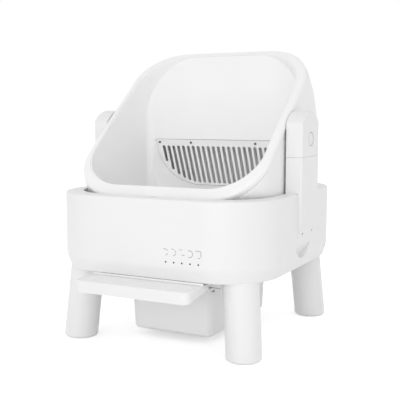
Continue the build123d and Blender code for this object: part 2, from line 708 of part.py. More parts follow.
def bearing_cheek():
    """The upright plate that carries the bush, open at the top so that the drum lifts out."""
    x0 = TOWER_IN + TOWER_WALL
    plate = block(x0, x0 + 4.4, AXIS_Y - 40, AXIS_Y + 40, TUB_TOP + 3, AXIS_Z + 24)
    plate = fillet(plate.edges().filter_by(Axis.X).group_by(Axis.Z)[-1], 10)
    slot = side_rod(x0 - 5, x0 + 8, AXIS_Y, AXIS_Z, BUSH_RADIUS)
    slot += block(x0 - 5, x0 + 8, AXIS_Y - BUSH_RADIUS, AXIS_Y + BUSH_RADIUS, AXIS_Z, AXIS_Z + 40)
    return plate - slot


def make_tower_post(side):
    """The fixed lower part of a tower and the apron that laps the tub's side."""
    post = tower_form(0) & tower_band(TUB_TOP, TOWER_SEAM)
    post -= tower_form(TOWER_WALL) & tower_band(TUB_TOP + TOWER_WALL, TOWER_SEAM + 1)
    post += bearing_cheek()
    apron = tower_form(0) & block(TUB_SIDE, TOWER_OUT, TOWER_FRONT - 5, 80, APRON_BOTTOM, TUB_TOP)
    fade = [(TUB_SIDE, APRON_BOTTOM), (TOWER_OUT, APRON_BOTTOM + APRON_FADE), (TOWER_OUT + 20, APRON_BOTTOM)]
    apron -= extrude(Plane.XZ * make_face(Polyline(*fade, close=True)), 200, both=True)
    post += apron
    for y in APRON_SCREW_Y:
        post -= side_rod(TUB_SIDE - 2, TOWER_OUT, y, APRON_SCREW_Z, 1.7)
        post -= side_rod(APRON_SCREW_X - 2.8, TOWER_OUT, y, APRON_SCREW_Z, 3.2)
    return post if side > 0 else mirror(post, about=Plane.YZ)


def button_hole():
    return side_rod(TOWER_OUT - 12, TOWER_OUT + 2, AXIS_Y + 4, AXIS_Z, BUTTON_RADIUS + SLACK)


def make_tower_cap(side):
    """The lift-off cap over the bearing, with a dished place for its release button."""
    cap = tower_form(0) & tower_band(TOWER_SEAM + 0.4, TOWER_TOP + 5)
    cap -= tower_form(TOWER_WALL) & tower_band(TOWER_SEAM - 1, TOWER_TOP + 5)
    dish_radius = 90.0
    dish_sink = 3.2
    dish = Pos(TOWER_OUT + dish_radius - dish_sink, AXIS_Y + 4, AXIS_Z) * Sphere(dish_radius)
    seat = side_rod(TOWER_OUT - 8.5, TOWER_OUT - 1, AXIS_Y + 4, AXIS_Z, 26)
    cap += seat & tower_form(1)
    cap -= dish
    cap -= button_hole()
    throat = side_rod(TOWER_IN - 1, TOWER_IN + 4, AXIS_Y, AXIS_Z, BUSH_RADIUS + 1)
    throat += block(
        TOWER_IN - 1, TOWER_IN + 4, AXIS_Y - BUSH_RADIUS - 1, AXIS_Y + BUSH_RADIUS + 1, TOWER_SEAM - 1, AXIS_Z
    )
    cap -= throat
    return cap if side > 0 else mirror(cap, about=Plane.YZ)


def make_button(side):
    """The release button: a dished disc with a guide stem."""
    face_x = TOWER_OUT - 2.0
    button = side_rod(face_x - 5, face_x, AXIS_Y + 4, AXIS_Z, BUTTON_RADIUS)
    button = fillet(button.edges().filter_by(GeomType.CIRCLE).sort_by(Axis.X)[-1], 1.2)
    button -= Pos(face_x + 58.8, AXIS_Y + 4, AXIS_Z) * Sphere(60)
    button += side_rod(face_x - 9, face_x - 4, AXIS_Y + 4, AXIS_Z, 6)
    return button if side > 0 else mirror(button, about=Plane.YZ)


def make_bush(side):
    bush = drum_disc(BUSH_RADIUS, side * (TOWER_IN + 0.6), side * (TOWER_IN + 7.6))
    return bush - drum_disc(SHAFT_RADIUS + SLACK, side * 200, side * 300)


def make_tower_screws():
    """Two countersunk screws through the foot of each apron."""
    screws = []
    for side in SIDES.values():
        for y in APRON_SCREW_Y:
            screw = side_rod(side * (TUB_SIDE - 8), side * (APRON_SCREW_X - 1), y, APRON_SCREW_Z, 1.5)
            screw += side_rod(side * (APRON_SCREW_X - 2.8), side * (APRON_SCREW_X - 0.8), y, APRON_SCREW_Z, 3.0)
            screws.append(screw)
    return group(screws)


# ---------------------------------------------------------------- drive
MOTOR_Z = AXIS_Z - GEAR_MODULE * (GEAR_TEETH + PINION_TEETH) / 2 - MESH_SLACK
GEAR_X = TOWER_IN + 8.4


def make_drive_gear():
    gear = spur_gear(GEAR_TEETH, GEAR_WIDTH, 9.05, pi / GEAR_TEETH)
    for number in range(6):
        gear -= Rot(0, 0, 60 * number) * Pos(21, 0, 0) * Cylinder(5, 40)
    gear -= Rot(0, 0, 30) * Pos(21, 0, GEAR_WIDTH) * Cylinder(3.1, 6)
    return Pos(GEAR_X, AXIS_Y, AXIS_Z) * Rot(0, 90, 0) * gear


def make_magnet():
    magnet = Rot(0, 0, 30) * Pos(21, 0, GEAR_WIDTH - 1.5) * Cylinder(3, 3)
    return Pos(GEAR_X, AXIS_Y, AXIS_Z) * Rot(0, 90, 0) * magnet


def make_pinion():
    """The motor's pinion on its output shaft."""
    pinion = spur_gear(PINION_TEETH, GEAR_WIDTH, 0.5, 0) + Pos(0, 0, GEAR_WIDTH / 2) * Cylinder(3, GEAR_WIDTH)
    pinion += Pos(0, 0, GEAR_WIDTH + 3.5) * Cylinder(3, 9)
    return Pos(GEAR_X, AXIS_Y, MOTOR_Z) * Rot(0, 90, 0) * pinion


def make_gearmotor():
    """A worm gearmotor: gearbox beside the pinion, motor can hanging below it."""
    x0 = GEAR_X + GEAR_WIDTH + 1.2
    box = block(x0, x0 + 17, AXIS_Y - 24, AXIS_Y + 20, MOTOR_Z - 18, MOTOR_Z + 17)
    box = fillet(box.edges().filter_by(Axis.X), 4)
    box -= side_rod(x0 - 1, x0 + 12, AXIS_Y, MOTOR_Z, 3.2)
    can = upright_rod(x0 + 4.5, AXIS_Y - 12, TUB_TOP + 6, MOTOR_Z - 17, 13)
    can = fillet(can.edges().filter_by(GeomType.CIRCLE).sort_by(Axis.Z)[0], 2)
    return box + can


def make_motor_bracket():
    """A folded plate that ties the gearbox to the bearing cheek."""
    x0 = TOWER_IN + TOWER_WALL + 4.4
    x1 = GEAR_X + GEAR_WIDTH + 1.2
    y0 = AXIS_Y + 21
    web = block(x0, x1 + 17, y0, y0 + 2, MOTOR_Z - 14, MOTOR_Z + 12)
    web += block(x1, x1 + 12, y0, y0 + 2, MOTOR_Z + 10, MOTOR_Z + 33)
    foot = block(x0, x0 + 2, y0, AXIS_Y + 38, MOTOR_Z - 14, MOTOR_Z + 14)
    tab = block(x1 + 2, x1 + 15, y0 - 1, y0 + 1, MOTOR_Z - 10, MOTOR_Z + 10)
    return web + foot + tab


def make_home_sensor():
    """A small sensor board beside the gear, held on the bracket's web."""
    x0 = GEAR_X + GEAR_WIDTH + 1.4
    return block(x0, x0 + 1.6, AXIS_Y + 5, AXIS_Y + 21, MOTOR_Z + 19, MOTOR_Z + 32)


# ---------------------------------------------------------------- bin
def bin_form(inset, floor):
    middle = (BIN_FRONT + BIN_BACK) / 2
    length = BIN_BACK - BIN_FRONT
    low = Pos(0, middle, BIN_BOTTOM + floor) * RectangleRounded(
        2 * (BIN_HALF_WIDTH - 5 - inset), length - 8 - 2 * inset, 16 - inset
    )
    high = Pos(0, middle, BIN_TOP - 3.5 + (4 if inset else 0)) * RectangleRounded(
        2 * (BIN_HALF_WIDTH + 1 - inset), length - 2 * inset, 18 - inset
    )
    return loft([low, high])


def make_bin():
    """The waste bin: drafted walls, a flange that runs in the rails, a pull lip in front."""
    outer = bin_form(0, 0)
    outer = fillet(outer.edges().group_by(Axis.Z)[0], 9)
    middle = (BIN_FRONT + BIN_BACK) / 2
    flange = Pos(0, middle, 0) * slab(2 * FLANGE_HALF, BIN_BACK - BIN_FRONT + 6, 10, BIN_TOP - 3.5, BIN_TOP)
    pull = Pos(0, BIN_FRONT - 8, 0) * slab(96, 30, 12, BIN_TOP - 3.5, BIN_TOP)
    pull += Pos(0, BIN_FRONT - 20.5, 0) * slab(70, 3, 1.2, BIN_TOP - 12, BIN_TOP - 2)
    return outer + flange + pull - bin_form(2.6, 2.6)


def make_bag_ring():
    """The loose ring that clamps the bag over the bin's mouth."""
    middle = (BIN_FRONT + BIN_BACK) / 2
    length = BIN_BACK - BIN_FRONT
    ring = Pos(0, middle, 0) * slab(214, length - 11, 16, BIN_TOP, BIN_TOP + 1.8)
    skirt = Pos(0, middle, 0) * slab(208, length - 15, 15, BIN_TOP - 12, BIN_TOP)
    return ring + skirt - Pos(0, middle, 0) * slab(202, length - 21, 13, BIN_TOP - 20, BIN_TOP + 5)


def make_rail(side):
    """A moulded rail under the base pan, grooved for the bin's flange and stopped at the rear."""
    shelf_z = BIN_TOP - 4.0
    guide_z = BIN_TOP + 2.4
    section = [
        (RAIL_IN, RAIL_BOTTOM),
        (RAIL_OUT, RAIL_BOTTOM),
        (RAIL_OUT, PAN_Z),
        (RAIL_IN + 6, PAN_Z),
        (RAIL_IN + 6, PAN_Z - 3),
        (RAIL_OUT - 3.5, PAN_Z - 3),
        (RAIL_OUT - 3.5, guide_z + 3),
        (RAIL_IN + 1, guide_z + 3),
        (RAIL_IN + 1, guide_z),
        (FLANGE_HALF + 1.5, guide_z),
        (FLANGE_HALF + 1.5, shelf_z),
        (RAIL_IN, shelf_z),
    ]
    face = Plane.XZ * make_face(Polyline(*section, close=True))
    rail = extrude(Pos(0, RAIL_BACK, 0) * face, RAIL_BACK - RAIL_FRONT)
    rail += block(RAIL_IN, RAIL_OUT, RAIL_BACK - 4, RAIL_BACK, RAIL_BOTTOM, guide_z + 3)
    for y in RAIL_SCREW_Y:
        rail -= upright_rod(RAIL_SCREW_X, y, PAN_Z - 5, PAN_Z + 1, SCREW_HOLE)
    return rail if side > 0 else mirror(rail, about=Plane.YZ)


def make_rail_screws():
    places = [(side * RAIL_SCREW_X, y) for side in SIDES.values() for y in RAIL_SCREW_Y]
    return group([pan_screw(x, y, PAN_Z - 3, 5.5) for x, y in places])


# ---------------------------------------------------------------- electronics
def make_control_board():
    board = block(30, 158, TUB_FRONT + 9.5, TUB_FRONT + 11.1, 198, 252)
    chips = block(60, 78, TUB_FRONT + 11.1, TUB_FRONT + 13.6, 215, 233)
    socket = block(120, 136, TUB_FRONT + 11.1, TUB_FRONT + 18, 202, 210)
    pads = board + chips + socket
    for x in KEY_X:
        pads += front_rod(x, TUB_FRONT + TUB_WALL + SLACK, TUB_FRONT + 9.5, 231, 4.5)
    return pads


def make_status_lights():
    lights = []
    for x in KEY_X:
        lights.append(front_rod(x, TUB_FRONT - 0.2, TUB_FRONT + 9.5, LIGHT_Z, LIGHT_RADIUS))
    return group(lights)


def make_power_inlet():
    back = TUB_DEPTH / 2
    inlet = front_rod(INLET_X, back - 14, back - 0.4, INLET_Z, 7.0)
    inlet += front_rod(INLET_X, back - TUB_WALL - 2.5, back - TUB_WALL, INLET_Z, 9.5)
    inlet -= front_rod(INLET_X, back - 10, back + 1, INLET_Z, 3.0)
    return inlet + front_rod(INLET_X, back - 11, back - 2, INLET_Z, 1.0)


def make_lip_tab():
    """The grooved finger tab on the middle of the lip's front edge."""
    front_y = -232.5
    tab = block(-17.5, 17.5, front_y, front_y + 16.5, 331, 343.5)
    tab = fillet(tab.edges().filter_by(Axis.Z).group_by(Axis.Y)[0], 3)
    tab -= block(-2, 2, front_y - 1, front_y + 4, 330, 345)
    return tab - lip_form()


# ---------------------------------------------------------------- build
def build():
    os.makedirs("parts", exist_ok=True)
    save("tub_shell", make_tub())
    save("funnel_liner", make_funnel())
    save("base_pan", make_pan())
    save("pan_screws", make_pan_screws())
    for name, signs in LEG_SIGNS.items():
        save(f"leg_{name}", make_leg(*signs))
    save("foot_plugs", group([make_foot_plug(*signs) for signs in LEG_SIGNS.values()]))
    save("leg_bolts", group([make_leg_bolt(*signs) for signs in LEG_SIGNS.values()]))
    save("step_frame", make_step_frame())
    save("step_tread", make_step_tread())

    shell, bowl, lip = make_drum()
    save("drum_shell", shell)
    save("drum_bowl", bowl)
    save("drum_lip", lip)
    save("sieve_panel", make_sieve())
    save("lip_tab", make_lip_tab())

    for name, side in SIDES.items():
        save(f"trunnion_{name}", make_trunnion(side))
        save(f"bush_{name}", make_bush(side))
        save(f"tower_post_{name}", make_tower_post(side))
        save(f"tower_cap_{name}", make_tower_cap(side))
        save(f"release_button_{name}", make_button(side))
        save(f"bin_rail_{name}", make_rail(side))
    save("tower_screws", make_tower_screws())

    save("drive_gear", make_drive_gear())
    save("home_magnet", make_magnet())
    save("motor_pinion", make_pinion())
    save("gearmotor", make_gearmotor())
    save("motor_bracket", make_motor_bracket())
    save("home_sensor", make_home_sensor())

    save("rail_screws", make_rail_screws())
    save("step_screws", make_step_screws())
    save("sieve_screws", make_sieve_screws())
    save("trunnion_screws", make_trunnion_screws())
    save("waste_bin", make_bin())
    save("bag_ring", make_bag_ring())
    save("control_board", make_control_board())
    save("status_lights", make_status_lights())
    save("power_inlet", make_power_inlet())


if __name__ == "__main__":
    build()
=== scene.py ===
from math import cos, pi, radians, sin, sqrt

import bmesh
import bpy
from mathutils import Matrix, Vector


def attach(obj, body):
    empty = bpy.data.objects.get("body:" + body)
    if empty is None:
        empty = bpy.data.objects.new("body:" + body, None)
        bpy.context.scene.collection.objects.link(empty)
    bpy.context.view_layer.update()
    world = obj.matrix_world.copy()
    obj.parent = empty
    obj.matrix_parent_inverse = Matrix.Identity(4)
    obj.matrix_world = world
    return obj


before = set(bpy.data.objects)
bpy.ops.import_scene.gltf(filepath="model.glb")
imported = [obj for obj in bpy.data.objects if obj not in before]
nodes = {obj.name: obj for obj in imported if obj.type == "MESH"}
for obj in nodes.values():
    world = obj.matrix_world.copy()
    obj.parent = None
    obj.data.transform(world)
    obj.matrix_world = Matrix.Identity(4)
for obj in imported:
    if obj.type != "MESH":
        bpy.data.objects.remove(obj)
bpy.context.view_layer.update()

# ---------------------------------------------------------------- places and sizes, in metres
# camera and light
CAMERA_PLACE = Vector((0.8439, -1.6400, 0.5250))
CAMERA_TARGET = Vector((-0.0037, 0.03075, 0.3116))
CAMERA_LENS = 68.67  # millimetres
CAMERA_SENSOR = 36.0  # millimetres
WORLD_LIGHT = 0.82  # strength of the world as the surfaces see it
FLOOR_HALF = 30.0
FLOOR_TONE = 0.96
FLOOR_LIFT = 0.42  # glow that brings the open floor up to white for the camera
LAMPS = (  # name, place, target, size, watts
    ("key", (0.35, -2.3, 0.5), (0, 0, 0.3), 1.5, 10.5),
    ("fill", (1.9, -1.0, 1.4), (0, 0, 0.35), 1.6, 2.4),
)

# touch keys and status lights on the tub's front
TUB_FRONT_Y = -0.24675
KEY_COUNT = 5
KEY_FIRST_X = 0.055
KEY_PITCH = 0.0195
KEY_X = tuple(KEY_FIRST_X + KEY_PITCH * number for number in range(KEY_COUNT))
KEY_Z = 0.2316
LIGHT_Z = 0.2103
SIGN_WIDTH = 0.0013
SIGN_TAPER = 0.9  # width at the ink's face, as a share of the width at its foot
INK_HEIGHT = 0.00008
INK_SINK = 0.0001
LIGHT_RIM_PROFILE = (  # radius, height above the tub's front
    (0.00136, -0.0002),
    (0.00136, 0.0002),
    (0.00150, 0.00028),
    (0.00180, 0.00022),
    (0.00195, 0.0),
    (0.00195, -0.0002),
)

# step
STEP_RISER_HALF_WIDTH = 0.139
STEP_RISER_OUTLINE = (  # y, z
    (-0.2364, 0.1688),
    (-0.2340, 0.1688),
    (-0.2338, 0.1652),
    (-0.2318, 0.1646),
    (-0.2318, 0.1640),
    (-0.2384, 0.1640),
    (-0.2384, 0.1646),
    (-0.2366, 0.1652),
)
STEP_RISER_EDGE = 0.0002

# release buttons
BUTTON_Y = 0.03975
BUTTON_Z = 0.466
# the dark ring round each release button is painted shade for the shadow in its gap
BUTTON_GAP_SHADE_PROFILE = (  # radius, distance out from the object's middle
    (0.01535, 0.2768),
    (0.01535, 0.2773),
    (0.0156, 0.27742),
    (0.0164, 0.27755),
    (0.0166, 0.27745),
    (0.0166, 0.2768),
)

# rails of the bin
RAIL_CAP_X = (0.1135, 0.1385)
RAIL_CAP_Y = (-0.1462, -0.1444)
RAIL_CAP_Z = (0.1405, 0.1675)
RAIL_CAP_CORNER = 0.002
RAIL_CAP_EDGE = 0.0003

# sieve, and the recess in the bowl's back wall that leads to it
BOWL_BACK_Y = 0.14875
SIEVE_TOP_Z = 0.455
SIEVE_HALF_WIDTH = 0.1945
SIEVE_DROP = 0.133
SIEVE_CORNER = 0.105
SIEVE_LEAN = 23.0  # degrees
SCOOP_HALF_WIDTH = 0.216
SCOOP_DROP = 0.163
SCOOP_CORNER = 0.090
ALCOVE_DEPTH = 0.004  # behind the sieve's face
ALCOVE_START = 0.006  # below the sieve's top
ALCOVE_REACH = 0.010  # the recess is drawn from this far in front of the back wall
ALCOVE_CLEAR = 0.0002  # from the back wall's front face
ALCOVE_FACES = (-0.00012, 0.0026)  # inner and outer face, out from the recess
ALCOVE_EDGE = 0.0003

# how finely the added pieces are divided
RING_STEPS = 40
CAP_SHARES = (0.97, 0.85, 0.55, 0.25)  # how far out along a stroke's round end its rows lie
QUARTER_STEPS = 6
EDGE_SIDE_STEPS = 6
EDGE_CORNER_STEPS = 16
EDGE_FLOOR_STEPS = 8
ALCOVE_STEPS = 5


# ---------------------------------------------------------------- materials
class Paint:
    """A small helper that builds one node material."""

    def __init__(self, name):
        self.material = bpy.data.materials.new(name)
        self.material.use_nodes = True
        self.tree = self.material.node_tree
        self.shader = self.tree.nodes["Principled BSDF"]
        self.place = self.add("ShaderNodeTexCoord").outputs["Object"]

    def add(self, kind, **settings):
        node = self.tree.nodes.new(kind)
        for key, value in settings.items():
            setattr(node, key, value)
        return node

    def link(self, source, target):
        self.tree.links.new(source, target)

    def feed(self, socket, source):
        self.link(source, self.shader.inputs[socket])

    def noise(self, scale, detail=2.0, rough=0.5, stretch=None):
        node = self.add("ShaderNodeTexNoise")
        node.inputs["Scale"].default_value = scale
        node.inputs["Detail"].default_value = detail
        node.inputs["Roughness"].default_value = rough
        source = self.place
        if stretch:
            mapping = self.add("ShaderNodeMapping")
            mapping.inputs["Scale"].default_value = stretch
            self.link(source, mapping.inputs["Vector"])
            source = mapping.outputs["Vector"]
        self.link(source, node.inputs["Vector"])
        return node.outputs["Fac"]

    def ramp(self, source, low, high, start=0.0, end=1.0):
        node = self.add("ShaderNodeMapRange")
        node.inputs["From Min"].default_value = start
        node.inputs["From Max"].default_value = end
        node.inputs["To Min"].default_value = low
        node.inputs["To Max"].default_value = high
        self.link(source, node.inputs["Value"])
        return node.outputs["Result"]

    def colour(self, factor, first, second):
        node = self.add("ShaderNodeMix", data_type="RGBA")
        node.inputs["A"].default_value = (*first, 1)
        node.inputs["B"].default_value = (*second, 1)
        self.link(factor, node.inputs["Factor"])
        self.feed("Base Color", node.outputs["Result"])

    def bump(self, source, strength, distance, under=None):
        node = self.add("ShaderNodeBump")
        node.inputs["Strength"].default_value = strength
        node.inputs["Distance"].default_value = distance
        self.link(source, node.inputs["Height"])
        if under is not None:
            self.link(under, node.inputs["Normal"])
        return node.outputs["Normal"]


def grey(tone):
    return (tone, tone, tone)


def moulded(name, tone, rough, grain=0.00003, grain_scale=1400.0, tint=(1.0, 1.0, 1.0)):
    """Injection-moulded plastic: cloudy tone, a fine eroded grain and a faint waviness."""
    paint = Paint(name)
    clouds = paint.noise(scale=6.0, detail=3.0)
    full = tuple(tone * part for part in tint)
    cloudy = tuple(tone * 0.985 * part for part in tint)
    paint.colour(paint.ramp(clouds, low=0.0, high=1.0, start=0.35, end=0.65), cloudy, full)
    scuffs = paint.noise(scale=38.0, detail=6.0, rough=0.65)
    gloss = paint.ramp(scuffs, low=rough - 0.05, high=rough + 0.06, start=0.3, end=0.7)
    paint.feed("Roughness", gloss)
    fine = paint.bump(paint.noise(scale=grain_scale, detail=1.0), strength=0.5, distance=grain)
    waves = paint.noise(scale=9.0, detail=1.0)
    paint.feed("Normal", paint.bump(waves, strength=0.12, distance=0.0006, under=fine))
    paint.shader.inputs["Specular IOR Level"].default_value = 0.4
    return paint.material


def steel(name, tone, rough):
    """Plated or bare metal, with fine streaks that run one way."""
    paint = Paint(name)
    paint.shader.inputs["Metallic"].default_value = 1.0
    paint.colour(paint.noise(scale=260.0, detail=3.0), grey(tone * 0.9), grey(tone))
    streaks = paint.noise(scale=900.0, detail=2.0, stretch=(1.0, 0.08, 1.0))
    paint.feed("Roughness", paint.ramp(streaks, low=rough - 0.08, high=rough + 0.1))
    paint.feed("Normal", paint.bump(streaks, strength=0.3, distance=0.00002))
    return paint.material


def tinted_lens(name, tone):
    """The dark gloss of a lens over an unlit lamp, with a little dust on it."""
    paint = Paint(name)
    paint.colour(paint.noise(scale=420.0, detail=2.0), grey(tone), grey(tone * 1.5))
    dust = paint.noise(scale=900.0, detail=3.0)
    paint.feed("Roughness", paint.ramp(dust, low=0.12, high=0.24))
    paint.feed("Normal", paint.bump(paint.noise(scale=300.0), strength=0.2, distance=0.00002))
    return paint.material


def pad_printed(name, tone):
    """Matt ink on plastic, a little uneven in its cover."""
    paint = Paint(name)
    paint.colour(paint.noise(scale=1100.0, detail=3.0), grey(tone * 0.9), grey(tone * 1.12))
    cover = paint.noise(scale=700.0, detail=2.0)
    paint.feed("Roughness", paint.ramp(cover, low=0.55, high=0.72))
    paint.feed("Normal", paint.bump(paint.noise(scale=2400.0), strength=0.3, distance=0.00001))
    return paint.material


shell_white = moulded("shell_white", tone=0.855, rough=0.42)
# lip, drum, bowl and bin are the shell's white plastic set lighter: painted light for the hollows and
# the parts under the tub, which get too little light
lip_white = moulded("lip_white", tone=0.93, rough=0.38)
drum_white = moulded("drum_white", tone=0.92, rough=0.5)
bowl_white_painted_light = moulded("bowl_white_painted_light", tone=0.93, rough=0.5)
tread_white = moulded("tread_white", tone=0.88, rough=0.6, grain=0.00006, grain_scale=900.0)
bin_white_painted_light = moulded("bin_white_painted_light", tone=0.92, rough=0.5)
dark_plastic = moulded("dark_plastic", tone=0.06, rough=0.5)
acetal = moulded("acetal", tone=0.72, rough=0.35, tint=(1.0, 0.99, 0.95))
# grey for the foot plugs; the same material colours the dark ring round each release button, which is
# painted shade
rubber_and_gap_shade = moulded("rubber_and_gap_shade", tone=0.42, rough=0.75, grain=0.00008, grain_scale=700.0)
zinc = steel("zinc", tone=0.62, rough=0.36)
dark_zinc = steel("dark_zinc", tone=0.14, rough=0.42)
motor_steel = steel("motor_steel", tone=0.3, rough=0.45)
board_green = moulded("board_green", tone=0.2, rough=0.4, tint=(0.25, 1.0, 0.5))
lens_dark = tinted_lens("lens_dark", tone=0.02)
key_ink = pad_printed("key_ink", tone=0.3)

FINISHES = {
    shell_white: [
        "tub_shell",
        "leg_front_left",
        "leg_front_right",
        "leg_rear_left",
        "leg_rear_right",
        "step_frame",
        "tower_post_left",
        "tower_post_right",
        "tower_cap_left",
        "tower_cap_right",
        "bin_rail_left",
        "bin_rail_right",
        "release_button_left",
        "release_button_right",
    ],
    lip_white: ["drum_lip", "lip_tab"],
    drum_white: ["drum_shell", "funnel_liner", "base_pan"],
    bowl_white_painted_light: ["drum_bowl", "sieve_panel"],
    tread_white: ["step_tread"],
    bin_white_painted_light: ["waste_bin", "bag_ring"],
    rubber_and_gap_shade: ["foot_plugs"],
    dark_plastic: ["power_inlet"],
    acetal: [
        "trunnion_left",
        "trunnion_right",
        "bush_left",
        "bush_right",
        "drive_gear",
        "motor_pinion",
    ],
    zinc: [
        "pan_screws",
        "leg_bolts",
        "step_screws",
        "rail_screws",
        "trunnion_screws",
        "motor_bracket",
        "home_magnet",
    ],
    dark_zinc: ["sieve_screws", "tower_screws"],
    motor_steel: ["gearmotor"],
    board_green: ["control_board", "home_sensor"],
    lens_dark: ["status_lights"],
}

for finish, names in FINISHES.items():
    for name in names:
        slots = nodes[name].data.materials
        slots.clear()
        slots.append(finish)


# ---------------------------------------------------------------- added pieces
def add_piece(name, shape, material, body="root"):
    """Turns a finished bmesh into an object that rides on a body."""
    bmesh.ops.recalc_face_normals(shape, faces=shape.faces)
    mesh = bpy.data.meshes.new(name)
    shape.to_mesh(mesh)
    shape.free()
    mesh.materials.append(material)
    piece = bpy.data.objects.new(name, mesh)
    bpy.context.scene.collection.objects.link(piece)
    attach(piece, body)
    return piece


def shade_smooth(piece):
    for face in piece.data.polygons:
        face.use_smooth = True


def soften(piece, width):
    """Rounds the piece's sharp edges and shades it smooth."""
    bevel = piece.modifiers.new("edge", "BEVEL")
    bevel.width = width
    bevel.segments = 2
    bevel.limit_method = "ANGLE"
    shade_smooth(piece)


def bridge(shape, near, far):
    """Quads between two closed loops that have as many points each."""
    for index in range(len(near)):
        following = (index + 1) % len(near)
        shape.faces.new((near[index], near[following], far[following], far[index]))


def skin(shape, loops):
    """A closed body: quads from each loop to the next, and a face at either end."""
    for near, far in zip(loops, loops[1:]):
        bridge(shape, near, far)
    shape.faces.new(loops[0])
    shape.faces.new(list(reversed(loops[-1])))


def arc(centre_u, centre_v, radius, start, end, steps):
    """Points of a circular arc, from start to end in degrees."""
    turns = [radians(start + (end - start) * step / steps) for step in range(steps + 1)]
    return [(centre_u + radius * cos(turn), centre_v + radius * sin(turn)) for turn in turns]


def rounded_rectangle(across, up, corner):
    """A rounded rectangle's outline between two values across and two up."""
    left, right = across
    bottom, top = up
    points = arc(right - corner, top - corner, corner, 0, 90, QUARTER_STEPS)
    points += arc(left + corner, top - corner, corner, 90, 180, QUARTER_STEPS)
    points += arc(left + corner, bottom + corner, corner, 180, 270, QUARTER_STEPS)
    points += arc(right - corner, bottom + corner, corner, 270, 360, QUARTER_STEPS)
    return points


def turned_ring(profile, place):
    """A ring turned from (radius, height) pairs; place(across, up, height) gives a point's x, y, z."""
    shape = bmesh.new()
    rings = []
    for step in range(RING_STEPS):
        turn = 2 * pi * step / RING_STEPS
        ring = []
        for radius, height in profile:
            ring.append(shape.verts.new(place(radius * cos(turn), radius * sin(turn), height)))
        rings.append(ring)
    for near, far in zip(rings, rings[1:] + rings[:1]):
        bridge(shape, near, far)
    return shape


def rounded_ends(path, half):
    """The path's points with half widths, and a round cap at each end."""
    first, second = Vector(path[0]), Vector(path[1])
    last, before = Vector(path[-1]), Vector(path[-2])
    out_first = (first - second).normalized()
    out_last = (last - before).normalized()
    caps = [(share, half * sqrt(1 - share * share)) for share in CAP_SHARES]
    rows = [(first + out_first * half * share, narrow) for share, narrow in caps]
    rows += [(Vector(point), half) for point in path]
    rows += [(last + out_last * half * share, narrow) for share, narrow in reversed(caps)]
    return rows


def stroke(shape, path, x):
    """A thin raised line of ink on the tub's front; the path is about the middle of the key at x."""
    rows = rounded_ends(path, SIGN_WIDTH / 2)
    foot = TUB_FRONT_Y + INK_SINK
    face = TUB_FRONT_Y - INK_HEIGHT
    rings = []
    for index, (point, half) in enumerate(rows):
        before = rows[max(index - 1, 0)][0]
        after = rows[min(index + 1, len(rows) - 1)][0]
        along = (after - before).normalized()
        side = Vector((-along.y, along.x)) * half
        section = (
            (point + side, foot),
            (point + side * SIGN_TAPER, face),
            (point - side * SIGN_TAPER, face),
            (point - side, foot),
        )
        rings.append([shape.verts.new((x + spot.x, y, KEY_Z + spot.y)) for spot, y in section])
    skin(shape, rings)


# plain strokes for the five keys, as paths of (x, z) about each key's middle
KEY_SIGNS = (
    (
        "fan",
        (
            [(-0.0048, 0.0072), (-0.0015, 0.0068), (0.0020, 0.0056), (0.0050, 0.0040)],
            [(0.0004, -0.0070), (0.0022, -0.0052), (0.0040, -0.0040), (0.0056, -0.0030)],
        ),
    ),
    (
        "sweep",
        (
            [(-0.0046, 0.0074), (-0.0018, 0.0074), (0.0010, 0.0066)],
            [(0.0034, 0.0050), (0.0046, 0.0030), (0.0044, 0.0006)],
            [(-0.0004, -0.0070), (0.0022, -0.0054), (0.0052, -0.0026)],
        ),
    ),
    (
        "level",
        (
            [(-0.0055, 0.0072), (-0.0026, 0.0076), (0.0004, 0.0072)],
            [(0.0000, -0.0038), (0.0030, -0.0034), (0.0060, -0.0038)],
        ),
    ),
    ("turn", (arc(-0.0010, 0.0, radius=0.0072, start=118, end=-112, steps=22),)),
    (
        "tray",
        (
            [
                (-0.0058, 0.0076),
                (0.0030, 0.0076),
                *arc(0.0040, 0.0056, radius=0.0020, start=90, end=0, steps=6),
                (0.0060, -0.0042),
            ],
            [(-0.0004, -0.0074), (0.0042, -0.0074)],
        ),
    ),
)


def make_keys():
    for x, (name, paths) in zip(KEY_X, KEY_SIGNS):
        shape = bmesh.new()
        for path in paths:
            stroke(shape, path, x)
        add_piece("key_sign_" + name, shape, key_ink)


def make_light_rims():
    """A fine rim round each of the small lights under the keys."""
    for number, x in enumerate(KEY_X, start=1):
        def place(across, up, height, x=x):
            return (x + across, TUB_FRONT_Y - height, LIGHT_Z + up)

        shape = turned_ring(LIGHT_RIM_PROFILE, place)
        shade_smooth(add_piece("light_rim_%d" % number, shape, lens_dark))


def make_step_riser():
    """A low upright lip at the back of the step that keeps litter out of the gap under the tub."""
    shape = bmesh.new()
    ends = []
    for x in (-STEP_RISER_HALF_WIDTH, STEP_RISER_HALF_WIDTH):
        ends.append([shape.verts.new((x, y, z)) for y, z in STEP_RISER_OUTLINE])
    skin(shape, ends)
    soften(add_piece("step_riser", shape, tread_white), STEP_RISER_EDGE)


def make_button_gap_shades():
    """A dark ring in the running gap round each release button: painted shade that stands in for the
    shadow in the gap.
    """
    for name, side in (("left", -1), ("right", 1)):
        def place(across, up, out, side=side):
            return (side * out, BUTTON_Y + across, BUTTON_Z + up)

        shape = turned_ring(BUTTON_GAP_SHADE_PROFILE, place)
        shade_smooth(add_piece("button_gap_shade_" + name, shape, rubber_and_gap_shade))


def make_rail_caps():
    """Blanking plates over the front ends of the bin's rails, above the way of the bin's flange."""
    outline = rounded_rectangle(RAIL_CAP_X, RAIL_CAP_Z, RAIL_CAP_CORNER)
    for name, side in (("left", -1), ("right", 1)):
        shape = bmesh.new()
        skin(shape, [[shape.verts.new((side * x, y, z)) for x, z in outline] for y in RAIL_CAP_Y])
        soften(add_piece("rail_cap_" + name, shape, bin_white_painted_light), RAIL_CAP_EDGE)


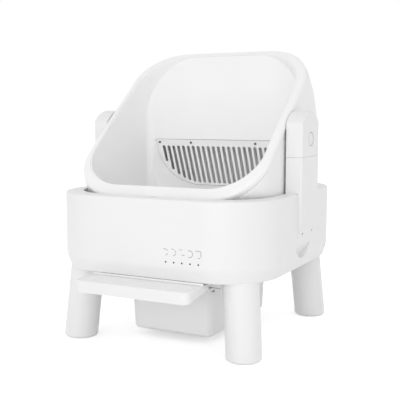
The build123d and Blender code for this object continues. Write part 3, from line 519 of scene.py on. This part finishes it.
def hanging_edge(half_width, drop, corner):
    """Points (x, distance down) round a hanging plate: left side, rounded floor, right side."""
    side = drop - corner - ALCOVE_START
    centre = half_width - corner
    left = []
    for step in range(EDGE_SIDE_STEPS):
        left.append((-half_width, ALCOVE_START + side * step / EDGE_SIDE_STEPS))
    for step in range(EDGE_CORNER_STEPS + 1):
        turn = radians(90 * step / EDGE_CORNER_STEPS)
        left.append((-centre - corner * cos(turn), drop - corner + corner * sin(turn)))
    floor = []
    for step in range(1, EDGE_FLOOR_STEPS):
        floor.append((-centre + 2 * centre * step / EDGE_FLOOR_STEPS, drop))
    return left + floor + [(-x, down) for x, down in reversed(left)]


def alcove_face(grow):
    """Rows of points from the back wall to the sieve, on a face that lies grow outside the recess."""
    lean_down, lean_back = cos(radians(SIEVE_LEAN)), sin(radians(SIEVE_LEAN))
    near = hanging_edge(SCOOP_HALF_WIDTH + grow, SCOOP_DROP + grow, SCOOP_CORNER + grow)
    far = hanging_edge(SIEVE_HALF_WIDTH + grow, SIEVE_DROP + grow, SIEVE_CORNER + grow)
    rows = []
    for (near_x, near_down), (far_x, far_down) in zip(near, far):
        front = Vector((near_x, BOWL_BACK_Y - ALCOVE_REACH, SIEVE_TOP_Z - near_down))
        rear_y = BOWL_BACK_Y + far_down * lean_back + ALCOVE_DEPTH * lean_down
        rear_z = SIEVE_TOP_Z - far_down * lean_down + ALCOVE_DEPTH * lean_back
        rear = Vector((far_x, rear_y, rear_z))
        start = (BOWL_BACK_Y + ALCOVE_CLEAR - front.y) / (rear.y - front.y)
        shares = [start + (1 - start) * step / ALCOVE_STEPS for step in range(ALCOVE_STEPS + 1)]
        rows.append([front.lerp(rear, share) for share in shares])
    return rows


def make_alcove():
    """The wall from the recess in the bowl's back to the sieve's rim, round its sides and floor.

    drum_bowl's own wall runs out to nothing along the recess's floor and leaves it open there.
    """
    shape = bmesh.new()
    inner, outer = [
        [[shape.verts.new(place) for place in row] for row in alcove_face(grow)] for grow in ALCOVE_FACES
    ]
    skin(shape, [row_in + list(reversed(row_out)) for row_in, row_out in zip(inner, outer)])
    soften(add_piece("sieve_alcove", shape, bowl_white_painted_light, "drum"), ALCOVE_EDGE)


make_keys()
make_light_rims()
make_step_riser()
make_alcove()
make_rail_caps()
make_button_gap_shades()


# ---------------------------------------------------------------- stage
def seen_directly(tree):
    """1 for what the camera, a mirror or clear glass shows, and 0 for light on its way to a surface."""
    rays = tree.nodes.new("ShaderNodeLightPath")
    total = rays.outputs["Is Camera Ray"]
    for kind in ("Is Glossy Ray", "Is Transmission Ray"):
        larger = tree.nodes.new("ShaderNodeMath")
        larger.operation = "MAXIMUM"
        tree.links.new(total, larger.inputs[0])
        tree.links.new(rays.outputs[kind], larger.inputs[1])
        total = larger.outputs["Value"]
    return total


def camera_white(name, tone, lift):
    """A pale floor that is seen as plain white in the open and keeps the shadows close to the object."""
    material = bpy.data.materials.new(name)
    material.use_nodes = True
    tree = material.node_tree
    tree.nodes.clear()
    output = tree.nodes.new("ShaderNodeOutputMaterial")
    diffuse = tree.nodes.new("ShaderNodeBsdfDiffuse")
    diffuse.inputs["Color"].default_value = (*grey(tone), 1)
    glow = tree.nodes.new("ShaderNodeEmission")
    amount = tree.nodes.new("ShaderNodeMath")
    amount.operation = "MULTIPLY"
    amount.inputs[1].default_value = lift
    tree.links.new(seen_directly(tree), amount.inputs[0])
    tree.links.new(amount.outputs["Value"], glow.inputs["Strength"])
    both = tree.nodes.new("ShaderNodeAddShader")
    tree.links.new(diffuse.outputs["BSDF"], both.inputs[0])
    tree.links.new(glow.outputs["Emission"], both.inputs[1])
    tree.links.new(both.outputs["Shader"], output.inputs["Surface"])
    return material


def make_floor():
    low, high = -FLOOR_HALF, FLOOR_HALF
    mesh = bpy.data.meshes.new("floor")
    corners = [(low, low, 0), (high, low, 0), (high, high, 0), (low, high, 0)]
    mesh.from_pydata(corners, [], [(0, 1, 2, 3)])
    floor = bpy.data.objects.new("floor", mesh)
    bpy.context.scene.collection.objects.link(floor)
    floor.data.materials.append(camera_white("floor_white", FLOOR_TONE, FLOOR_LIFT))


def make_world():
    """White for the camera, and a little under white as light on the object."""
    world = bpy.data.worlds.new("world")
    world.use_nodes = True
    tree = world.node_tree
    background = tree.nodes["Background"]
    strength = tree.nodes.new("ShaderNodeMapRange")
    strength.inputs["To Min"].default_value = WORLD_LIGHT
    strength.inputs["To Max"].default_value = 1.0
    tree.links.new(seen_directly(tree), strength.inputs["Value"])
    tree.links.new(strength.outputs["Result"], background.inputs["Strength"])
    background.inputs["Color"].default_value = (1, 1, 1, 1)
    bpy.context.scene.world = world


def aim(thing, place, target):
    """Puts a camera or lamp at a place, turned to look at a target."""
    thing.location = place
    thing.rotation_euler = (Vector(target) - Vector(place)).to_track_quat("-Z", "Y").to_euler()
    bpy.context.scene.collection.objects.link(thing)


def make_lamp(name, place, target, size, power):
    light = bpy.data.lights.new(name, "AREA")
    light.shape = "DISK"
    light.size = size
    light.energy = power
    aim(bpy.data.objects.new(name, light), place, target)


def make_camera():
    data = bpy.data.cameras.new("camera")
    data.lens = CAMERA_LENS
    data.sensor_width = CAMERA_SENSOR
    camera = bpy.data.objects.new("camera", data)
    aim(camera, CAMERA_PLACE, CAMERA_TARGET)
    bpy.context.scene.camera = camera


make_floor()
make_world()
make_camera()
for lamp in LAMPS:
    make_lamp(*lamp)
bpy.context.scene.view_settings.view_transform = "Standard"
